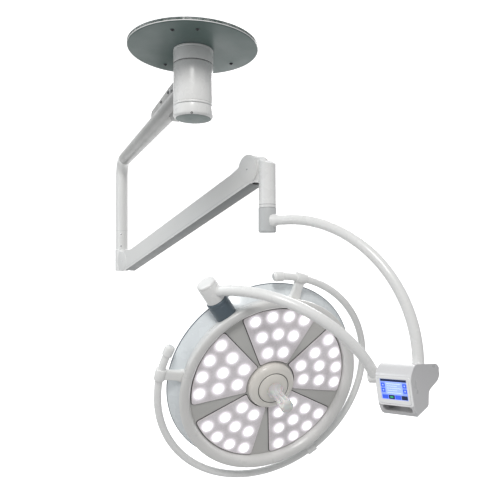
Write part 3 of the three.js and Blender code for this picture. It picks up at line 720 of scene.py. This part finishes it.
def screen_tiles(body):
    """Plain control page: header bar, pale panel with rule lines, side buttons and a bottom row."""
    edge = SCREEN["width"] / 2 - 0.9
    tile("page_header", -edge, edge, 18.2, 23.4, "tile_dark", body, corner=0.3)
    tile("page_panel", -20.5, 20.5, -12.2, 17.2, "tile_pale", body)
    for i in range(5):
        z = 12.4 - i * 5.2
        tile(f"page_rule_{i + 1}", -17.0, 17.0 - (i % 2) * 9, z, z + 0.6, "tile_line", body, 0.34, 0.2)
    for side, tag in ((-1, "left"), (1, "right")):
        for i, z in enumerate((4.6, -7.6)):
            x = side * 26.4
            name = f"page_{tag}_button_{i + 1}"
            tile(name, x - 4.6, x + 4.6, z, z + 9.6, "tile_blue", body, corner=1.4)
            tile(f"{name}_mark", x - 1.8, x + 1.8, z + 3, z + 6.6, "tile_pale", body, 0.34, 0.6)
    for i, look in enumerate(("tile_blue", "tile_dark", "tile_blue", "tile_dark")):
        x = -23.4 + i * 15.6
        tile(f"page_key_{i + 1}", x - 7.2, x + 7.2, -23.2, -13.8, look, body, corner=1.0)
    tile("page_key_mark", -11.4, -4.2, -20.2, -16.8, "tile_green", body, 0.34, 0.6)


# ---------------------------------------------------------------- second bow and the tilt joint
def second_bow():
    body = "second_bow"
    hub = [(SHAFT["start"], SHAFT["hub"] - 1.5), (SHAFT["start"] + 1.5, SHAFT["hub"]),
           (SHAFT["shoulder"] - 1, SHAFT["hub"]), (SHAFT["shoulder"], SHAFT["hub"] - 1),
           (SHAFT["shoulder"], SHAFT["shaft"]), (SHAFT["end"] - 1, SHAFT["shaft"]), (SHAFT["end"], 12)]
    make("roll_hub_fine", tube([(x, 0, 0) for x, _ in hub], [r for _, r in hub], 64), AT_BOW2,
         "white_paint", body, "roll_hub")
    bend = BOW2["bend"]
    first = math.degrees(math.acos((TILT["sleeve"] - 4 - BOW2["straight"]) / bend))
    last = math.degrees(math.asin((SHAFT["hub"] - 5 - BOW2["end"]) / bend))
    points = arc((BOW2["straight"], 0, BOW2["end"]), (1, 0, 0), (0, 0, 1), bend, first, last, 80)
    make("bow_2_fine", tube(points, BOW["radius"], 56), AT_BOW2, "white_paint", body, "bow_2_tube")
    sleeve = TILT["sleeve"]
    low = TILT["split"] + 0.5
    make("tilt_sleeve_fine", lathe(((16, low), (sleeve, low, 1.0), (sleeve, TILT["end"] - 8, 0.6),
                                    (16, TILT["end"] - 8)), 0.3),
         AT_BOW2, "white_paint", body, "tilt_sleeve")
    top = TILT["end"]
    make("tilt_cap_fine", lathe(((0, top - 7.6), (sleeve, top - 7.6, 0.6), (sleeve, top - 3.4, 2.4),
                                 (sleeve - 3.4, top, 2.4), (0, top)), 0.5),
         AT_BOW2, "white_paint", body, "tilt_cap")
    carried("tilt_bearing", "bright_steel")


# ---------------------------------------------------------------- lamp head
def lamp_head():
    body = "lamp_head"
    start = TILT["start"] + 12
    collar = TILT["collar"]
    split = TILT["split"]
    make("tilt_collar_fine", lathe(((0, start), (collar, start), (collar, split - 14, 0.6),
                                    (collar - 0.9, split - 13, 0.3), (collar - 0.9, split - 11.6, 0.3),
                                    (collar, split - 10.6, 0.6), (collar, split - 2.5, 2),
                                    (collar - 2.5, split, 2), (12, split), (12, TILT["end"] - 18),
                                    (0, TILT["end"] - 18)), 0.3),
         AT_TILT, "slate_paint", body, "tilt_collar")
    make("back_cover_fine", lathe(((0, -72), (60, -71.9, 2), (64, -70.8, 2), (150, -70, 6), (280, -62, 8),
                                   (294, -53, 3), (294, -52.2), (289, -52.2), (278, -57.5), (150, -66),
                                   (0, -68)), 0.4, 192),
         AT_LAMP, "shell_plastic", body, "head_back_cover")
    make("side_band_fine", lathe(((294, -51.8), (262, -22), (257, -22), (289, -51.8)), 0.5, 192),
         AT_LAMP, "band_paint", body, "side_band")
    seam = lathe(((290, -53.6), (293.9, -53.6), (294.3, -53.0), (294.3, -51.0), (293.6, -50.4),
                  (290, -50.4)), 0, 192)
    make("head_seam", seam, AT_LAMP, "slate_paint", body)
    make("front_rim_fine", lathe(((240, -21.6), (262, -21.6, 1), (273, 14, 6), (270, 21, 4), (262, 23, 5),
                                  (250, 21, 6), (243, 12, 5), (240, 4, 1)), 0.5, 192),
         AT_LAMP, "shell_plastic", body, "front_rim")
    make("face_plate_fine", lathe(((60, -4), (239.4, -4), (239.4, 0), (60, 0)), 0.2, 192),
         AT_LAMP, "face_paint", body, "face_plate")
    carried("heat_sink", "sink_aluminium")
    for i in range(8):
        spot = polar(262, 22.5 + 45 * i, -63.6)
        screw(f"back_cover_screw_{i + 1}", AT_LAMP, spot, polar(0.12, 22.5 + 45 * i, -1), 4, body,
              "bright_steel", 1.0)
    for index in range(5):
        led_module(index)


def sector(middle, grow, corner, steps=28):
    """Outline of an LED panel with rounded corners, grown by a margin, in the plane of the face."""
    outer = LED["outer"] + grow
    inner = LED["inner"] - grow
    wide = LED["half_outside"] + math.degrees(grow / outer)
    narrow = LED["half_inside"] + math.degrees(grow / inner)
    spans = [2 * k / steps - 1 for k in range(steps + 1)]
    outer_arc = [polar(outer, middle + wide * span) for span in spans]
    inner_arc = [polar(inner, middle - narrow * span) for span in spans]
    corners = []
    for line in (outer_arc, inner_arc):
        corners.append((line[0].x, line[0].y, corner))
        corners += [(p.x, p.y, 0) for p in line[3:-3]]
        corners.append((line[-1].x, line[-1].y, corner))
    return softened(corners, 0, 5)


def flat_plate(outline, low, high, edge, steps=2):
    """Outline in x and y, standing between two heights."""
    verts, faces = slab([(p[0], p[1]) for p in outline], -high, -low, edge, steps)
    return [Vector((v[0], v[2], -v[1])) for v in verts], faces


def led_module(index):
    body = "lamp_head"
    middle = 180 + 36 + 72 * index
    node = f"led_module_{index + 1}"
    gasket = sector(middle, 2.2, 10)
    make(f"{node}_gasket", flat_plate(gasket, 0.02, 1.1, 0.2), AT_LAMP, "gasket", body)
    panel = sector(middle, 0, 8)
    make(f"{node}_fine", flat_plate(panel, 0.4, 4, 1.2, 3), AT_LAMP, "led_panel", body, node, weighted=True)
    glow_sheet(node, middle, body)
    lens = LED["lens"]
    lenses = []
    collars = []
    for radius, angles in LED_ROWS:
        for angle in angles:
            centre = polar(radius, middle + angle)
            dome = lathe(((0, 3), (lens - 1.2, 3), (lens - 1.2, 5.6, 1.4), (lens * 0.7, 7.8, 5),
                          (lens * 0.3, 8.8, 4), (0, 9)), 0.6, 40)
            ring = lathe(((lens - 2.2, 3), (lens + 0.2, 3), (lens + 0.2, 5.2, 0.6), (lens - 0.9, 6.0, 0.6),
                          (lens - 2.2, 5.4)), 0.2, 40)
            lenses.append(oriented(dome, centre, UP))
            collars.append(oriented(ring, centre, UP))
    make(f"{node}_lenses", together(*lenses), AT_LAMP, "led_lens", body, sharp=60)
    make(f"{node}_collars", together(*collars), AT_LAMP, "led_collar", body, sharp=60)


def glow_sheet(node, middle, body, rows=40, columns=60, margin=2.6):
    """Fine skin on the panel's front, whose points know how near the lit lenses are, for the painted light
    around them.
    """
    inner = LED["inner"] + margin
    outer = LED["outer"] - margin
    low = polar(inner, LED["half_inside"] - math.degrees(margin / inner))
    high = polar(outer, LED["half_outside"] - math.degrees(margin / outer))
    centres = [polar(radius, middle + a) for radius, angles in LED_ROWS for a in angles]
    verts = []
    for i in range(rows + 1):
        edge = low.lerp(high, i / rows)
        span = math.degrees(math.atan2(edge.y, edge.x))
        for k in range(columns + 1):
            verts.append(polar(edge.length, middle + span * (2 * k / columns - 1), 4.04))
    faces = [(i * (columns + 1) + k, i * (columns + 1) + k + 1, (i + 1) * (columns + 1) + k + 1,
              (i + 1) * (columns + 1) + k) for i in range(rows) for k in range(columns)]
    sheet = solid(f"{node}_front", (verts, faces), AT_LAMP)
    glow_values = sheet.data.attributes.new("glow", "FLOAT", "POINT")
    back = AT_LAMP.inverted()
    for point, cell in zip(sheet.data.vertices, glow_values.data):
        place = back @ point.co
        near = min(math.hypot(place.x - c.x, place.y - c.y) for c in centres)
        cell.value = math.exp(-(max(near - LED["lens"], 0) / 4.5) ** 1.3)
    wear(sheet, "led_glow", body)


def handle():
    dish = ((17.4, 0.4), (70, 0.4), (70, 9, 2), (67.6, 11, 1), (67.6, 12.6, 1), (69, 14, 1.5), (62, 21, 7),
            (48, 25.4, 3), (46.8, 23.2, 0.8), (45.4, 23.2, 0.8), (44.2, 26.2, 1.5), (36, 29.6, 6),
            (24, 32.8, 5), (17.4, 33, 1))
    make("handle_hub_fine", lathe(dish, 0.3),
         AT_LAMP, "hub_plastic", "lamp_head", "handle_hub")
    ring = lathe(((45.0, 22.6), (47.2, 22.6), (47.2, 24.1), (45.0, 24.1)), 0)
    make("hub_groove", ring, AT_LAMP, "gasket", "lamp_head")
    grip = ((0, -5), (16.4, -5), (16.4, 34, 1), (24, 36, 1.4), (24, 43, 3), (17.5, 55, 8), (16.6, 62, 0),
            (16.0, 68, 0), (15.6, 74, 0), (15.9, 80, 0), (16.6, 86, 0), (17.6, 92, 0), (18.6, 98, 0),
            (19, 104, 0), (19.3, 111, 4), (18.6, 119, 5), (13, 127, 5), (0, 130))
    make("sterile_handle_fine", lathe(grip, 0.6, FINE, (6, 4.2, 56, 123)),
         AT_LAMP, "handle_clear", "focus_handle", "sterile_handle")


# ---------------------------------------------------------------- grab rail
def rail_arc(start, stop, steps):
    return arc((0, 0, RAIL["z"]), (1, 0, 0), (0, 1, 0), RAIL["radius"], start, stop, steps)


def grab_rail():
    body = "lamp_head"
    gap = 35.3
    make("grab_rail_fine", tube(rail_arc(180 + gap, 540 - gap, 200), RAIL["bare"], 40), AT_LAMP,
         "white_paint", body, "grab_rail")
    for i, side in enumerate((1, -1)):
        end = rail_arc(180 + side * 30.75, 180 + side * 30.95, 1)
        make(f"rail_cap_{i + 1}_face", tube(end, RAIL["tube"] - 3.4, 40), AT_LAMP, "grey_paint", body)
        points = rail_arc(180 + side * 30.8, 180 + side * 36.2, 14)
        wide = RAIL["tube"] + 3
        radii = [wide - 5, wide - 2.2, wide - 0.8, wide - 0.2] + [wide] * 9 + [wide - 0.5, RAIL["bare"] + 0.2]
        make(f"rail_cap_{i + 1}_fine", tube(points, radii, 40), AT_LAMP, "white_paint", body,
             f"rail_cap_{i + 1}")
    for i, degrees in enumerate((46, -46, 180)):
        where = AT_LAMP @ Matrix.Rotation(math.radians(180 + degrees), 4, "Z")
        wide = RAIL["tube"] + 4
        sleeve = tube([(RAIL["radius"], y, RAIL["z"]) for y in (-16, -15.4, -14, 14, 15.4, 16)],
                      [wide - 1.8, wide - 0.5, wide, wide, wide - 0.5, wide - 1.8], 48)
        foot = softened(((-19, -10), (19, -10), (19, 10), (-19, 10)), 6, 5)
        waist = softened(((-14, -8), (14, -8), (14, 8), (-14, 8)), 5, 5)
        stations = ((262, 1.0), (266, 0.7), (271, 0.4), (277, 0.16), (284, 0.03), (292, 0.0),
                    (RAIL["radius"] - 5, 0.0))
        post = loft([[(x, a[0] * t + b[0] * (1 - t), a[1] * t + b[1] * (1 - t) + RAIL["z"])
                      for a, b in zip(foot, waist)] for x, t in stations])
        make(f"rail_bracket_{i + 1}_fine", together(sleeve, post), where, "white_paint", body,
             f"rail_bracket_{i + 1}")


# ---------------------------------------------------------------- room, light and camera
def area_light(name, place, aim, size, power, colour=(1, 1, 1)):
    data = bpy.data.lights.new(name, "AREA")
    data.shape = "DISK"
    data.size = size
    data.energy = power
    data.color = colour
    obj = bpy.data.objects.new(name, data)
    obj.location = place
    obj.rotation_mode = "QUATERNION"
    obj.rotation_quaternion = (Vector(aim) - Vector(place)).to_track_quat("-Z", "Y")
    bpy.context.scene.collection.objects.link(obj)


def studio_pale():
    """Pale matt paper that is lit up towards the back wall."""
    pale = surface("studio_pale", (0.54, 0.54, 0.54), (0.56, 0.56, 0.56), (0.8, 0.9), height=0.0, cloud=0.6,
                   Emission_Color=(1, 1, 1, 1))
    tree = pale.node_tree
    where = tree.nodes.new("ShaderNodeTexCoord")
    split = tree.nodes.new("ShaderNodeSeparateXYZ")
    link(tree, where, "Object", split, "Vector")
    behind = spread(tree, split, 0.02, 0.95, 1.6, 2.9, "Y")
    aside = tree.nodes.new("ShaderNodeMath")
    aside.operation = "ABSOLUTE"
    link(tree, split, "X", aside, 0)
    sides = spread(tree, aside, 1, 0, 4.4, 5.6, "Value")
    both = tree.nodes.new("ShaderNodeMath")
    both.operation = "MULTIPLY"
    link(tree, behind, "Result", both, 0)
    link(tree, sides, "Result", both, 1)
    link(tree, both, "Value", tree.nodes["Principled BSDF"], "Emission Strength")
    return pale


def stage():
    """Floor that bends up into a back wall, in metres."""
    floor_z = -2.3
    wall_y = 6.0
    bend = 1.5
    wide = 9.0
    line = [(-7.0, floor_z), (wall_y - bend, floor_z)]
    sweep = arc((wall_y - bend, 0, floor_z + bend), (0, 0, -1), (1, 0, 0), bend, 0, 90, 16)
    line += [(p.x, p.z) for p in sweep[1:]]
    line += [(wall_y, 6.0)]
    verts = [(x, y, z) for y, z in line for x in (-wide, wide)]
    faces = [(2 * i, 2 * i + 1, 2 * i + 3, 2 * i + 2) for i in range(len(line) - 1)]
    backdrop = solid("studio_floor", (verts, faces), Matrix.Identity(4), 60)
    backdrop.data.materials.append(studio_pale())


def sky():
    """World light that is brighter from above than from below."""
    world = bpy.data.worlds.new("studio_world")
    bpy.context.scene.world = world
    world.use_nodes = True
    background = world.node_tree.nodes["Background"]
    background.inputs["Color"].default_value = (0.97, 0.98, 1.0, 1)
    tree = world.node_tree
    where = tree.nodes.new("ShaderNodeTexCoord")
    split = tree.nodes.new("ShaderNodeSeparateXYZ")
    link(tree, where, "Generated", split, "Vector")
    fade = spread(tree, split, 0.12, 0.62, -0.3, 0.7, "Z")
    link(tree, fade, "Result", background, "Strength")


def studio():
    stage()
    sky()
    area_light("key", (0.0, -2.7, 1.7), (0.0, 0.2, -0.55), 1.1, 62, (1.0, 0.99, 0.975))
    area_light("fill", (-2.3, 0.2, 1.9), (-0.1, 0.2, -0.7), 1.2, 26, (0.90, 0.96, 1.0))
    area_light("side", (-2.2, -0.6, -0.3), (-0.3, 0.8, -0.4), 0.9, 7, (0.97, 0.99, 1.0))
    area_light("rim", (1.6, 3.0, 1.2), (0.1, 0.3, -0.6), 1.2, 24)
    bpy.context.scene.view_settings.view_transform = "Standard"


def camera():
    data = bpy.data.cameras.new("camera")
    data.sensor_width = 36
    data.lens = 35.14
    data.clip_start = 0.05
    obj = bpy.data.objects.new("camera", data)
    obj.location = (0.136, -1.176, -0.489)
    obj.rotation_euler = (math.radians(90), 0, 0)
    bpy.context.scene.collection.objects.link(obj)
    bpy.context.scene.camera = obj


camera()
studio()
ceiling()
extension_arm()
elbow()
spring_arm()
knuckle()
first_bow()
touch_console()
second_bow()
lamp_head()
handle()
grab_rail()

bpy.context.view_layer.update()
